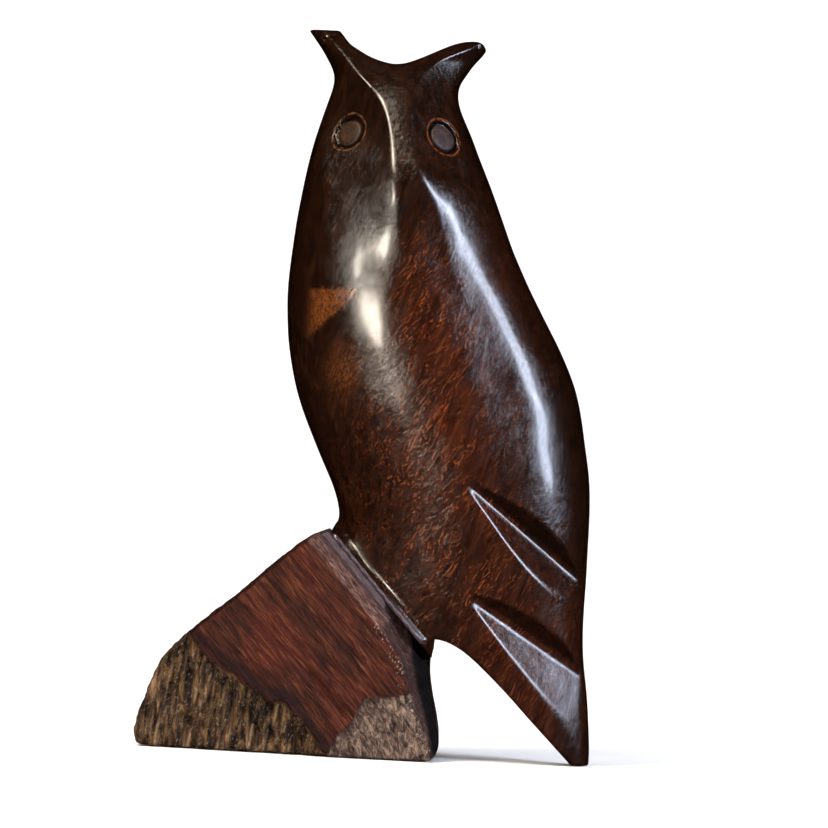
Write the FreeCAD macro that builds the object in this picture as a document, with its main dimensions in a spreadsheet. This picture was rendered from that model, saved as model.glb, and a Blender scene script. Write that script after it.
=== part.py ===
import FreeCAD, Part
import math
import os

import Sketcher

# Carved hardwood owl on a rough wooden perch, about 150 mm tall.
# Millimetres, +Z up, the owl faces -Y and its tail hangs towards +X.
# The origin is on the ground under the perch and the tail tip, at the middle of the outline.

V = FreeCAD.Vector

# Driving dimensions of the perch, its seat, the face, the eyes and the pins.
SIZES = {
    # Perch: a wedge sawn from a log, its outline seen from the front.
    "perch_depth": 37.0,
    "perch_toe_x": -46.4,
    "perch_side_x": -47.1,
    "perch_side_height": 2.8,
    "perch_shoulder_x": -42.2,
    "perch_shoulder_height": 18.2,
    "perch_crest_x": -13.8,
    "perch_crest_height": 44.2,
    "perch_heel_x": 15.5,
    "perch_heel_height": 4.0,
    "perch_back_x": 13.4,
    "perch_back_height": 16.0,
    "perch_bottom_x": 14.8,
    "ledge_bevel": 2.2,
    "corner_bevel": 1.2,
    # Seat: the flat joint between owl and perch, from its top down to its foot.
    "seat_top_x": -9.3,
    "seat_top_height": 46.1,
    "seat_foot_x": 13.1,
    "seat_foot_height": 21.3,
    # Foot of the owl: a thin slab that spreads over the seat.
    "foot_length": 30.0,
    "foot_width": 31.6,
    "foot_thickness": 2.0,
    # Underside of the tail: an arc from the arch behind the perch down to the ground.
    "arch_x": 18.1,
    "arch_height": 24.1,
    "undertail_x": 29.2,
    "undertail_height": 14.6,
    "tail_tip_x": 43.4,
    "ground": 0.0,
    # Ear notch: an arc from tuft to tuft, cut through from front to back.
    "notch_left_x": -12.7,
    "notch_left_height": 150.0,
    "notch_floor_x": -0.3,
    "notch_floor_height": 143.0,
    "notch_right_x": 13.6,
    "notch_right_height": 149.4,
    # Face: two flat cheeks and a sloping forehead leave a narrow beak ridge between them.
    "beak_half_width": 2.5,
    "beak_x": 1.4,
    "beak_front": 17.2,
    "beak_height": 128.4,
    "brow_front": 16.2,
    "brow_height": 131.5,
    "crown_front": 10.4,
    "crown_height": 140.0,
    # Eyes: a ring groove round a turned plug, its end just below the cheek.
    "eye_left_x": -9.3,
    "eye_right_x": 10.1,
    "groove_radius": 3.9,
    "groove_depth": 1.3,
    "plug_radius": 2.9,
    "plug_length": 5.0,
    "plug_edge": 0.45,
    "plug_sink": 0.25,
    # Pins that hold the owl on its seat.
    "pin_radius": 2.5,
    "pin_length": 18.0,
    "pin_edge": 0.7,
    "pin_spacing": 14.0,
    # Clearances: the glue film round plugs and pins, and the space left at the end of each hole.
    "glue_gap": 0.06,
    "end_gap": 0.5,
}

# Horizontal outlines of the owl: name, height, left and right edge, reach to the front and to the back.
OUTLINES = [
    ("tip", 0.0, 14.0, 47.1, 9.0, 9.0),
    ("tail", 14.0, 8.0, 45.9, 11.4, 11.4),
    ("root", 26.0, 1.0, 44.7, 13.6, 13.6),
    ("rump", 38.0, -4.4, 44.6, 15.4, 15.4),
    ("thigh", 49.0, -7.2, 44.6, 17.1, 17.1),
    ("belly", 60.0, -11.3, 44.0, 19.0, 19.0),
    ("flank", 72.0, -16.7, 41.9, 20.5, 20.5),
    ("breast", 84.0, -19.6, 37.5, 21.2, 20.8),
    ("wing", 96.0, -20.5, 30.9, 21.6, 20.2),
    ("nape", 108.0, -19.6, 25.1, 21.8, 18.4),
    ("jaw", 118.0, -18.2, 20.9, 21.6, 16.0),
    ("eye", 128.0, -16.1, 16.2, 19.0, 12.8),
    ("brow", 136.0, -13.9, 13.0, 14.6, 11.8),
    ("pinch", 140.5, -13.2, 13.6, 11.0, 11.8),
    ("crown", 145.0, -15.4, 16.2, 5.6, 12.6),
    ("tufts", 150.0, -18.4, 18.8, 1.6, 13.2),
]
# End radius of an outline as a share of the end radius of an ellipse.
ROUNDNESS = 0.9

# Wing cuts: name, then the two ends of the valley as x, reach from the middle plane and height,
# the widest the facet below the valley can get, and how far that facet turns up from facing outwards.
WING_CUTS = [
    ("upper", (21.6, 17.0, 55.0), (44.0, 4.6, 38.4), 14.0, 38.0),
    ("lower", (19.4, 14.0, 34.2), (45.4, 2.4, 19.0), 24.0, 27.0),
]

# Directions of the face planes: the cheeks turn sideways and up, the rest lean back.
CHEEK_TURN = 39.0
CHEEK_RISE = 17.0
BEAK_LEAN = 18.0
FOREHEAD_LEAN = 35.0
CROWN_LEAN = 48.0
# Flat on the front of the perch towards its heel: turned sideways and a little up.
HEEL_FLAT_TURN = 38.0
HEEL_FLAT_RISE = 14.0
HEEL_FLAT_X = 6.8
HEEL_FLAT_HEIGHT = 20.0
# Natural split surface on the lower left of the front: falls away from a line across the sawn face.
WEATHERED_TURN = -6.4
WEATHERED_RISE = -9.6
WEATHERED_X = -24.5
WEATHERED_HEIGHT = 11.0

# How far a wing cut runs past each end of its valley, as a share of the valley.
WING_RUN_OUT = 0.1

# Half the edge of the blocks that cut planes, the height of a wing block, and how far a drill stands proud.
CUTTER = 90.0
WING_BLOCK = 30.0
DRILL_PROUD = 9.0

doc = FreeCAD.newDocument("carved_owl")


def make_sheet():
    """The spreadsheet of driving dimensions, one per row, with its name as the alias."""
    rows = dict(SIZES)
    for name, *values in OUTLINES:
        for what, value in zip(("height", "left", "right", "front", "back"), values):
            rows[f"{name}_{what}"] = value
    for name, start, *_ in WING_CUTS:
        for what, value in zip(("x", "reach", "height"), start):
            rows[f"{name}_wing_{what}"] = value
    sheet = doc.addObject("Spreadsheet::Sheet", "Sizes")
    for row, (alias, value) in enumerate(rows.items(), 1):
        sheet.set(f"A{row}", alias)
        sheet.set(f"B{row}", str(value))
        sheet.setAlias(f"B{row}", alias)
    doc.recompute()


def new_body(label):
    body = doc.addObject("PartDesign::Body", label)
    body.Label = label
    return body


def new_sketch(body, name, role):
    """An empty sketch on one of the body's own origin planes."""
    sketch = body.newObject("Sketcher::SketchObject", name)
    plane = next(f for f in body.Origin.OriginFeatures if f.Role == role)
    sketch.AttachmentSupport = [(plane, "")]
    sketch.MapMode = "FlatFace"
    return sketch


def bind(sketch, kind, places, value, expression):
    """Adds a dimension and ties it to the sheet."""
    index = sketch.addConstraint(Sketcher.Constraint(kind, *places, value))
    sketch.setExpression(f"Constraints[{index}]", expression)


def tie_point(sketch, geometry, point, place, expressions):
    """Ties a point of a sketch to the origin by its two coordinates."""
    for kind, value, expression in zip(("DistanceX", "DistanceY"), place, expressions):
        bind(sketch, kind, (-1, 1, geometry, point), value, expression)


def outline_sketch(body, name, height, left, right, front, back):
    """One horizontal outline: an oval of four tangent arcs, two at the ends and two along the sides."""
    half_width = (right - left) / 2
    half_depth = (front + back) / 2
    middle = V((left + right) / 2, (back - front) / 2, 0)
    end = ROUNDNESS * half_depth**2 / half_width
    along = half_width - end
    side = (along**2 + half_depth**2 - end**2) / (2 * (half_depth - end))
    tilt = math.atan2(side - half_depth, along)
    half_turn = math.pi
    arcs = [
        (middle + V(along, 0), end, -tilt, tilt),
        (middle - V(0, side - half_depth), side, tilt, half_turn - tilt),
        (middle - V(along, 0), end, half_turn - tilt, half_turn + tilt),
        (middle + V(0, side - half_depth), side, half_turn + tilt, 2 * half_turn - tilt),
    ]
    sketch = new_sketch(body, f"{name}_outline", "XY_Plane")
    sketch.AttachmentOffset = FreeCAD.Placement(V(0, 0, height), FreeCAD.Rotation())
    sketch.setExpression("AttachmentOffset.Base.z", f"Sizes.{name}_height")
    for centre, radius, first, last in arcs:
        sketch.addGeometry(Part.ArcOfCircle(Part.Circle(centre, V(0, 0, 1), radius), first, last), False)
    for i in range(4):
        sketch.addConstraint(Sketcher.Constraint("Tangent", i, 2, (i + 1) % 4, 1))
    a = f"((Sizes.{name}_right - Sizes.{name}_left) / 2)"
    b = f"((Sizes.{name}_front + Sizes.{name}_back) / 2)"
    x = f"((Sizes.{name}_right + Sizes.{name}_left) / 2)"
    y = f"((Sizes.{name}_back - Sizes.{name}_front) / 2)"
    r_end = f"({ROUNDNESS} * {b} * {b} / {a})"
    r_side = f"((({a} - {r_end}) ^ 2 + {b} ^ 2 - {r_end} ^ 2) / (2 * ({b} - {r_end})))"
    tie_point(sketch, 0, 3, arcs[0][0], (f"{x} + {a} - {r_end}", y))
    tie_point(sketch, 2, 3, arcs[2][0], (f"{x} - {a} + {r_end}", y))
    for i, expression in enumerate((r_end, r_side, r_end, r_side)):
        bind(sketch, "Radius", (i,), arcs[i][1], expression)
    return sketch


def chain_sketch(body, name, points):
    """A closed front view of straight lines; a point is two sheet names, or numbers for a waste corner."""
    sketch = new_sketch(body, name, "XZ_Plane")
    values = [[SIZES.get(c, c) for c in point] for point in points]
    ends = [V(x, z, 0) for x, z in values]
    count = len(ends)
    for i in range(count):
        sketch.addGeometry(Part.LineSegment(ends[i], ends[(i + 1) % count]), False)
    for i in range(count):
        sketch.addConstraint(Sketcher.Constraint("Coincident", i, 2, (i + 1) % count, 1))
        expressions = [f"Sizes.{c}" if c in SIZES else str(c) for c in points[i]]
        tie_point(sketch, i, 1, values[i], expressions)
    return sketch


def arc_sketch(body, name, three, corners):
    """A closed front view: an arc through three points of the sheet, closed by waste corners."""
    sketch = new_sketch(body, name, "XZ_Plane")
    on_arc = [V(SIZES[a], SIZES[b], 0) for a, b in three]
    ends = [on_arc[2], *[V(x, z, 0) for x, z in corners], on_arc[0]]
    sketch.addGeometry(Part.Arc(*on_arc), False)
    for first, last in zip(ends, ends[1:]):
        sketch.addGeometry(Part.LineSegment(first, last), False)
    sketch.addGeometry(Part.Point(on_arc[1]), True)
    lines, helper = len(ends) - 1, len(ends)
    start, end = (1, 2) if (sketch.getPoint(0, 1) - on_arc[0]).Length < 1e-6 else (2, 1)
    sketch.addConstraint(Sketcher.Constraint("Coincident", 0, end, 1, 1))
    for i in range(1, lines):
        sketch.addConstraint(Sketcher.Constraint("Coincident", i, 2, i + 1, 1))
        tie_point(sketch, i, 2, corners[i - 1], [str(c) for c in corners[i - 1]])
    sketch.addConstraint(Sketcher.Constraint("Coincident", lines, 2, 0, start))
    sketch.addConstraint(Sketcher.Constraint("PointOnObject", helper, 1, 0))
    places = ((0, start), (helper, 1), (0, end))
    for (geometry, point), place, names in zip(places, on_arc, three):
        tie_point(sketch, geometry, point, (place.x, place.y), [f"Sizes.{n}" for n in names])
    return sketch


def cut_through(body, name, sketch):
    """A pocket through everything on both sides of the front view."""
    pocket = body.newObject("PartDesign::Pocket", name)
    pocket.Profile = sketch
    pocket.Type = "ThroughAll"
    pocket.Midplane = True
    return pocket


def spin(z_axis, x_axis):
    """Rotation whose Z is the first direction and whose X lies as near as it can to the second."""
    return FreeCAD.Rotation(x_axis, V(), z_axis, "ZXY")


def box_cut(body, name, corner, rotation, size, offset, names):
    """A box cutter: corner is tied to the sheet names, offset moves the box along its own axes."""
    box = body.newObject("PartDesign::SubtractiveBox", name)
    box.Length, box.Width, box.Height = size
    shift = rotation.multVec(offset)
    box.Placement = FreeCAD.Placement(corner + shift, rotation)
    for axis, start, extra in zip("xyz", names, shift):
        box.setExpression(f"Placement.Base.{axis}", f"{start} + {extra:.4f}")
    return box


def plane_cut(body, name, point, facing, names):
    """Takes away everything on the outer side of a plane through the point."""
    size = (2 * CUTTER, 2 * CUTTER, CUTTER)
    return box_cut(body, name, point, spin(facing, V(1, 0, 0)), size, V(-CUTTER, -CUTTER, 0), names)


def total(*names):
    """The sum of some driving dimensions, and the same sum as the sheet writes it."""
    return sum(SIZES[n] for n in names), "(" + " + ".join(f"Sizes.{n}" for n in names) + ")"


def hole(body, name, mouth, rotation, radius_names, depth_names, share=1.0):
    """A round hole that goes down along the rotation's -Z from its mouth, by a share of its full depth."""
    (radius, radius_words), (depth, depth_words) = total(*radius_names), total(*depth_names)
    tool = body.newObject("PartDesign::SubtractiveCylinder", name)
    tool.Placement = FreeCAD.Placement(mouth + rotation.multVec(V(0, 0, -depth * share)), rotation)
    tool.Radius = radius
    tool.Height = depth * share + DRILL_PROUD
    tool.setExpression("Radius", radius_words)
    tool.setExpression("Height", f"{depth_words} * {share} + {DRILL_PROUD}")
    return tool


def direction(turn, rise):
    """A direction that starts at -Y, turned towards +X and raised, in degrees."""
    turn, rise = math.radians(turn), math.radians(rise)
    return V(math.sin(turn) * math.cos(rise), -math.cos(turn) * math.cos(rise), math.sin(rise))


def cheek(side):
    """The flat of one cheek: a point on its inner edge and the direction it faces."""
    inner = V(SIZES["beak_x"] + side * SIZES["beak_half_width"], -SIZES["beak_front"], SIZES["beak_height"])
    return inner, direction(side * CHEEK_TURN, CHEEK_RISE)


def eye_seat(side):
    """The middle of one eye on its cheek, with the rotation whose Z faces out of the cheek."""
    inner, facing = cheek(side)
    x = SIZES["eye_left_x" if side < 0 else "eye_right_x"]
    y = inner.y - facing.x * (x - inner.x) / facing.y
    return V(x, y, SIZES["beak_height"]), spin(facing, V(1, 0, 0))


def seat_frame():
    """The middle of the seat with the rotation whose X runs down the seat and Z out of the perch."""
    top = V(SIZES["seat_top_x"], 0, SIZES["seat_top_height"])
    foot = V(SIZES["seat_foot_x"], 0, SIZES["seat_foot_height"])
    down = (foot - top).normalize()
    return (top + foot) / 2, spin(V(0, 1, 0).cross(down) * -1, down)


def dowel_centres():
    middle, rotation = seat_frame()
    step = rotation.multVec(V(SIZES["pin_spacing"] / 2, 0, 0))
    return [middle - step, middle + step], rotation


def make_owl():
    """The owl: a loft of horizontal outlines, then the cuts of the carver in their order."""
    body = new_body("owl_body")
    sections = [outline_sketch(body, *outline) for outline in OUTLINES]
    form = body.newObject("PartDesign::AdditiveLoft", "carved_form")
    form.Profile = sections[0]
    form.Sections = sections[1:]
    doc.recompute()

    seat = chain_sketch(body, "seat_line", [
        ("seat_top_x", "seat_top_height"), ("seat_foot_x", "seat_foot_height"),
        ("arch_x", "arch_height"), ("arch_x", -CUTTER), (-CUTTER, -CUTTER), (-CUTTER, "seat_top_height"),
    ])
    cut_through(body, "seat_cut", seat)
    undertail = arc_sketch(
        body, "undertail_line",
        [("arch_x", "arch_height"), ("undertail_x", "undertail_height"), ("tail_tip_x", "ground")],
        [(SIZES["tail_tip_x"], -CUTTER), (SIZES["arch_x"], -CUTTER)],
    )
    cut_through(body, "undertail_cut", undertail)
    notch = arc_sketch(
        body, "notch_line",
        [("notch_left_x", "notch_left_height"), ("notch_floor_x", "notch_floor_height"),
         ("notch_right_x", "notch_right_height")],
        [(SIZES["notch_right_x"], 2 * CUTTER), (SIZES["notch_left_x"], 2 * CUTTER)],
    )
    cut_through(body, "ear_notch", notch)
    add_foot(body)
    doc.recompute()

    for side, word in ((-1, "left"), (1, "right")):
        inner, facing = cheek(side)
        names = (f"Sizes.beak_x + {side} * Sizes.beak_half_width", "-Sizes.beak_front", "Sizes.beak_height")
        plane_cut(body, f"{word}_cheek", inner, facing, names)
    for name, level, lean in (("beak_slope", "beak", BEAK_LEAN), ("forehead", "brow", FOREHEAD_LEAN),
                              ("crown_slope", "crown", CROWN_LEAN)):
        point = V(SIZES["beak_x"], -SIZES[f"{level}_front"], SIZES[f"{level}_height"])
        names = ("Sizes.beak_x", f"-Sizes.{level}_front", f"Sizes.{level}_height")
        plane_cut(body, name, point, direction(0, lean), names)
    doc.recompute()

    for side in (-1, 1):
        for name, *cut in WING_CUTS:
            wing_cut(body, name, side, *cut)
    doc.recompute()

    for side, word in ((-1, "left"), (1, "right")):
        mouth, rotation = eye_seat(side)
        hole(body, f"{word}_eye_groove", mouth, rotation, ["groove_radius"], ["groove_depth"])
        hole(body, f"{word}_eye_hole", mouth, rotation, ["plug_radius", "glue_gap"],
             ["plug_length", "plug_sink", "end_gap"])
    add_dowel_holes(body, 1)
    return body


def add_foot(body):
    """The slab under the owl, centred on the seat."""
    middle, rotation = seat_frame()
    slab = body.newObject("PartDesign::AdditiveBox", "foot_slab")
    for side, what in (("Length", "length"), ("Width", "width"), ("Height", "thickness")):
        setattr(slab, side, SIZES[f"foot_{what}"])
        slab.setExpression(side, f"Sizes.foot_{what}")
    corner = V(-SIZES["foot_length"] / 2, -SIZES["foot_width"] / 2, 0)
    slab.Placement = FreeCAD.Placement(middle + rotation.multVec(corner), rotation)


def wing_cut(body, name, side, start, end, width, lean):
    """A long V: a facet that rises from the valley to its lower edge, and a wall square to it above."""
    first = V(start[0], side * start[1], start[2])
    along = V(end[0], side * end[1], end[2]) - first
    length = along.Length
    along.normalize()
    across = V(0, side, 0).cross(along)
    across = (across if across.z < 0 else across * -1).normalize()
    outward = V(0, side, 0) - along * (along.y * side)
    outward.normalize()
    tilt = math.radians(lean)
    down_facet = across * math.cos(tilt) + outward * math.sin(tilt)
    facing = outward * math.cos(tilt) - across * math.sin(tilt)
    rotation = spin(facing, along)
    upright = facing.cross(along).dot(down_facet) > 0
    offset = V(-WING_RUN_OUT * length, 0 if upright else -width, 0)
    size = ((1 + 2 * WING_RUN_OUT) * length, width, WING_BLOCK)
    names = (f"Sizes.{name}_wing_x", f"{side} * Sizes.{name}_wing_reach", f"Sizes.{name}_wing_height")
    word = "front" if side < 0 else "back"
    box_cut(body, f"{name}_{word}_wing_cut", first, rotation, size, offset, names)


def add_dowel_holes(body, upwards):
    """The two pin holes in one side of the seat: upwards 1 for the owl, -1 for the perch."""
    centres, rotation = dowel_centres()
    if upwards > 0:
        rotation = spin(rotation.multVec(V(0, 0, -1)), rotation.multVec(V(1, 0, 0)))
    for centre, pin in zip(centres, ("upper", "lower")):
        hole(body, f"{pin}_pin_hole", centre, rotation, ["pin_radius", "glue_gap"],
             ["pin_length", "end_gap"], 0.5)


def make_perch():
    """The perch: a sawn wedge with a bevelled ledge round the seat and a weathered lower corner."""
    body = new_body("perch_base")
    outline = chain_sketch(body, "perch_outline", [
        ("perch_toe_x", "ground"), ("perch_bottom_x", "ground"), ("perch_heel_x", "perch_heel_height"),
        ("perch_back_x", "perch_back_height"), ("seat_foot_x", "seat_foot_height"),
        ("seat_top_x", "seat_top_height"), ("perch_crest_x", "perch_crest_height"),
        ("perch_shoulder_x", "perch_shoulder_height"), ("perch_side_x", "perch_side_height"),
    ])
    block = body.newObject("PartDesign::Pad", "sawn_block")
    block.Profile = outline
    block.Midplane = True
    block.setExpression("Length", "Sizes.perch_depth")
    doc.recompute()

    bevel_edges(body, "ledge", "ledge_bevel", on_seat_side)
    bevel_edges(body, "sawn_corners", "corner_bevel", on_sloping_back)
    half = SIZES["perch_depth"] / 2
    for name, x, height, facing in (
        ("weathered_corner", WEATHERED_X, WEATHERED_HEIGHT, direction(WEATHERED_TURN, WEATHERED_RISE)),
        ("heel_flat", HEEL_FLAT_X, HEEL_FLAT_HEIGHT, direction(HEEL_FLAT_TURN, HEEL_FLAT_RISE)),
    ):
        plane_cut(body, name, V(x, -half, height), facing, (str(x), "-Sizes.perch_depth / 2", str(height)))
    doc.recompute()
    add_dowel_holes(body, -1)
    return body


def bevel_edges(body, name, size_name, chosen):
    """Bevels every edge of the last feature for which chosen says yes."""
    base = body.Tip
    names = [f"Edge{i}" for i, edge in enumerate(base.Shape.Edges, 1) if chosen(edge)]
    bevel = body.newObject("PartDesign::Chamfer", name)
    bevel.Base = (base, names)
    bevel.Size = SIZES[size_name]
    bevel.setExpression("Size", f"Sizes.{size_name}")
    doc.recompute()


def lies_flush(edge, first, last):
    """Whether an edge lies on the front or back of the perch along the line between two outline points."""
    ends = [*[v.Point for v in edge.Vertexes], edge.CenterOfMass]
    a, b = (V(SIZES[f"{n}_x"], 0, SIZES[f"{n}_height"]) for n in (first, last))
    line = (b - a).normalize()
    half = SIZES["perch_depth"] / 2
    flat = [V(p.x, 0, p.z) - a for p in ends]
    return (all(abs(abs(p.y) - half) < 0.01 for p in ends)
            and all((p - line * p.dot(line)).Length < 0.01 for p in flat))


def on_seat_side(edge):
    return lies_flush(edge, "seat_top", "seat_foot")


def on_sloping_back(edge):
    return lies_flush(edge, "perch_shoulder", "perch_crest")


def turned_pin(label, kind, placement):
    """A turned round peg that stands on its own origin, eased at both ends."""
    body = new_body(label)
    radius, length, edge = (SIZES[f"{kind}_{what}"] for what in ("radius", "length", "edge"))
    r, n, e = (f"Sizes.{kind}_{what}" for what in ("radius", "length", "edge"))
    profile = new_sketch(body, f"{label}_profile", "XZ_Plane")
    points = [(0, 0), (radius - edge, 0), (radius, edge), (radius, length - edge),
              (radius - edge, length), (0, length)]
    words = [("0", "0"), (f"{r} - {e}", "0"), (r, e), (r, f"{n} - {e}"), (f"{r} - {e}", n), ("0", n)]
    count = len(points)
    for i in range(count):
        first, last = points[i], points[(i + 1) % count]
        profile.addGeometry(Part.LineSegment(V(*first, 0), V(*last, 0)), False)
    for i in range(count):
        profile.addConstraint(Sketcher.Constraint("Coincident", i, 2, (i + 1) % count, 1))
        tie_point(profile, i, 1, points[i], words[i])
    turning = body.newObject("PartDesign::Revolution", f"{label}_turning")
    turning.Profile = profile
    turning.ReferenceAxis = (profile, ["V_Axis"])
    turning.Angle = 360
    body.Placement = placement
    return body


def eye_plug(side, label):
    mouth, rotation = eye_seat(side)
    depth = SIZES["plug_length"] + SIZES["plug_sink"]
    return turned_pin(label, "plug", FreeCAD.Placement(mouth + rotation.multVec(V(0, 0, -depth)), rotation))


def dowels():
    centres, rotation = dowel_centres()
    down = rotation.multVec(V(0, 0, -SIZES["pin_length"] / 2))
    for label, centre in zip(("upper_perch_dowel", "lower_perch_dowel"), centres):
        yield turned_pin(label, "pin", FreeCAD.Placement(centre + down, rotation))


def check(bodies):
    """Stops the build if any feature failed or any piece is not one sound solid."""
    for item in doc.Objects:
        if any(word in item.State for word in ("Invalid", "Error")):
            raise RuntimeError(f"{item.Name} did not build")
    for body in bodies:
        shape = body.Shape
        if shape.isNull() or not shape.isValid() or len(shape.Solids) != 1:
            raise RuntimeError(f"{body.Label} is not one sound solid")


make_sheet()
bodies = [make_owl(), make_perch(), eye_plug(-1, "left_eye_plug"), eye_plug(1, "right_eye_plug"), *dowels()]
doc.recompute()
check(bodies)
os.makedirs("parts", exist_ok=True)
for body in bodies:
    body.Shape.exportStep(f"parts/{body.Label}.step")
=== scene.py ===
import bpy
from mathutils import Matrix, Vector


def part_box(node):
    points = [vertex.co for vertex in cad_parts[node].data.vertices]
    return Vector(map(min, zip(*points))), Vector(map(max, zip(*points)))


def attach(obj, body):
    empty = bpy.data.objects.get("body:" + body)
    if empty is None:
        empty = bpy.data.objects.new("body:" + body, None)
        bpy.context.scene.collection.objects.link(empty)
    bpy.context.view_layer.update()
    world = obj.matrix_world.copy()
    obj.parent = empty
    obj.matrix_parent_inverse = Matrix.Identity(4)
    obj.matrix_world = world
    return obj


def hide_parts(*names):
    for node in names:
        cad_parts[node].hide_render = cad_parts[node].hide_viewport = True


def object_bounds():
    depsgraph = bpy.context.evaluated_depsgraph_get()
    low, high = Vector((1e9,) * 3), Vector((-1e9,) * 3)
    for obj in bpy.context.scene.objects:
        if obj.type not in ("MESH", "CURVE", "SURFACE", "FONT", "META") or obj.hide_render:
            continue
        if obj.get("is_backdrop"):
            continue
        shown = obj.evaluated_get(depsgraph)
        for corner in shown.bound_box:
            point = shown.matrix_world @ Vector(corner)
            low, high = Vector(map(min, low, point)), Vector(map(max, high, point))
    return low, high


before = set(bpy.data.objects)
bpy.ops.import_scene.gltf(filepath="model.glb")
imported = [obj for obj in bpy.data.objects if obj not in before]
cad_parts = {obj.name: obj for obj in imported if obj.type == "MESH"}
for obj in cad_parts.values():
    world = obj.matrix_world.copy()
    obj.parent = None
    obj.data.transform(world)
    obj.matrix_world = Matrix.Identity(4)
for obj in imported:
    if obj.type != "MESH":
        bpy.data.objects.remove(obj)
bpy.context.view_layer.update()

import math

import bpy
import numpy as np
from mathutils import Matrix, Vector

MM = 0.001
STEP_OWL = 0.62
STEP_PERCH = 0.42

# ---------------------------------------------------------------- small maths


def unit(v):
    v = np.asarray(v, float)
    return v / np.linalg.norm(v)


def smooth_max(a, b, radius):
    """The larger of two fields, rounded over where they meet."""
    h = np.clip(0.5 + 0.5 * (a - b) / radius, 0, 1)
    return b + (a - b) * h + radius * h * (1 - h)


def smooth_min(a, b, radius):
    return -smooth_max(-a, -b, radius)


def smooth_step(x, low, high):
    u = np.clip((x - low) / (high - low), 0, 1)
    return u * u * (3 - 2 * u)


class Curve:
    """A natural cubic spline through (place, value) pairs, level beyond its ends."""

    def __init__(self, *pairs):
        self.x, self.y = (np.array(c, float) for c in zip(*pairs))
        h = np.diff(self.x)
        slopes = np.diff(self.y) / h
        n = len(self.x)
        system, right = np.eye(n), np.zeros(n)
        for i in range(1, n - 1):
            system[i, i - 1 : i + 2] = h[i - 1], 2 * (h[i - 1] + h[i]), h[i]
            right[i] = 6 * (slopes[i] - slopes[i - 1])
        self.bend = np.linalg.solve(system, right)

    def __call__(self, at):
        at = np.clip(at, self.x[0], self.x[-1])
        i = np.clip(np.searchsorted(self.x, at) - 1, 0, len(self.x) - 2)
        h = self.x[i + 1] - self.x[i]
        a, b = (self.x[i + 1] - at) / h, (at - self.x[i]) / h
        curved = ((a**3 - a) * self.bend[i] + (b**3 - b) * self.bend[i + 1]) * h * h / 6
        return a * self.y[i] + b * self.y[i + 1] + curved


def lattice(i, j, k, seed):
    """A repeatable number from 0 to 1 for every whole-number point."""
    n = (i * 73856093) ^ (j * 19349663) ^ (k * 83492791) ^ (seed * 2654435761)
    n = (n ^ (n >> 13)) * 1274126177
    return ((n ^ (n >> 16)) & 0xFFFF) / 65535.0


def noise(p, seed=0):
    """Smooth value noise from -1 to 1 with one feature per unit."""
    base = np.floor(p).astype(np.int64)
    f = p - base
    f = f * f * (3 - 2 * f)
    total = 0
    for c in range(8):
        d = np.array([c & 1, (c >> 1) & 1, (c >> 2) & 1])
        weight = np.prod(np.where(d, f, 1 - f), axis=1)
        q = base + d
        total = total + weight * lattice(q[:, 0], q[:, 1], q[:, 2], seed)
    return 2 * total - 1


def layered(p, seed=0, layers=3):
    total, size = 0, 1.0
    for i in range(layers):
        total = total + size * noise(p * 2**i, seed + i)
        size *= 0.5
    return total


# ---------------------------------------------------------------- the owl, in millimetres
# Outline seen from the front, the two flanks by height.
LEFT = Curve((0, -6), (24, -6.5), (40, -7), (48, -7.1), (54, -8.6), (60, -11.3), (65, -13.7), (70, -15.9),
             (75, -17.7), (80, -18.9), (85, -19.8), (90, -20.3), (95, -20.5), (100, -20.3), (105, -19.9),
             (110, -19.4), (115, -18.7), (120, -17.9), (125, -16.9), (130, -15.6), (135, -14.2),
             (138, -13.4), (140, -13.25), (142, -13.8), (144, -14.9), (146, -16.2), (148, -17.7),
             (150, -19.2))
RIGHT = Curve((-1, 47.0), (4, 47.0), (10, 46.5), (15, 45.9), (20, 45.1), (26, 44.6), (36, 44.5), (46, 44.65),
              (54, 44.5), (60, 44.0), (65, 43.1), (70, 42.2), (75, 41.1), (80, 39.4), (85, 37.0),
              (90, 34.2), (95, 31.4), (100, 28.7), (105, 26.3), (110, 24.2), (115, 22.1), (120, 20.0),
              (125, 17.7), (130, 15.5), (135, 13.3), (138, 12.8), (140, 13.2), (142, 14.3), (144, 15.6),
              (146, 17.2), (148, 18.4), (150, 18.9))
# Reach to the front and to the back of the middle plane, by height.
FRONT = Curve((0, 9.4), (14, 12.8), (26, 15.8), (38, 18.0), (49, 19.6), (60, 20.8), (72, 21.5), (84, 21.7),
              (96, 21.7), (104, 21.9), (112, 22.4), (119, 22.8), (128, 21.0), (136, 17.0), (142, 13.4),
              (150, 8.0))
BACK = Curve((0, 9.4), (14, 12.8), (26, 15.8), (38, 17.8), (49, 18.9), (60, 19.8), (72, 20.4), (84, 20.7),
             (96, 20.1), (108, 18.3), (118, 16.0), (128, 12.9), (136, 11.7), (142, 11.7), (150, 13.0))
# The crest of the wing, from the beak down to the tail, and the hollow in front of it.
CREST = Curve((36, 38.4), (46, 37.8), (55, 36.5), (69, 34.7), (82, 30.6), (96, 23.4), (103, 17.8), (116, 9.4),
              (121, 6.1))
HOLLOW = Curve((70, 27.5), (82, 23.0), (96, 17.5), (108, 11.5), (121, 6.5))

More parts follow.
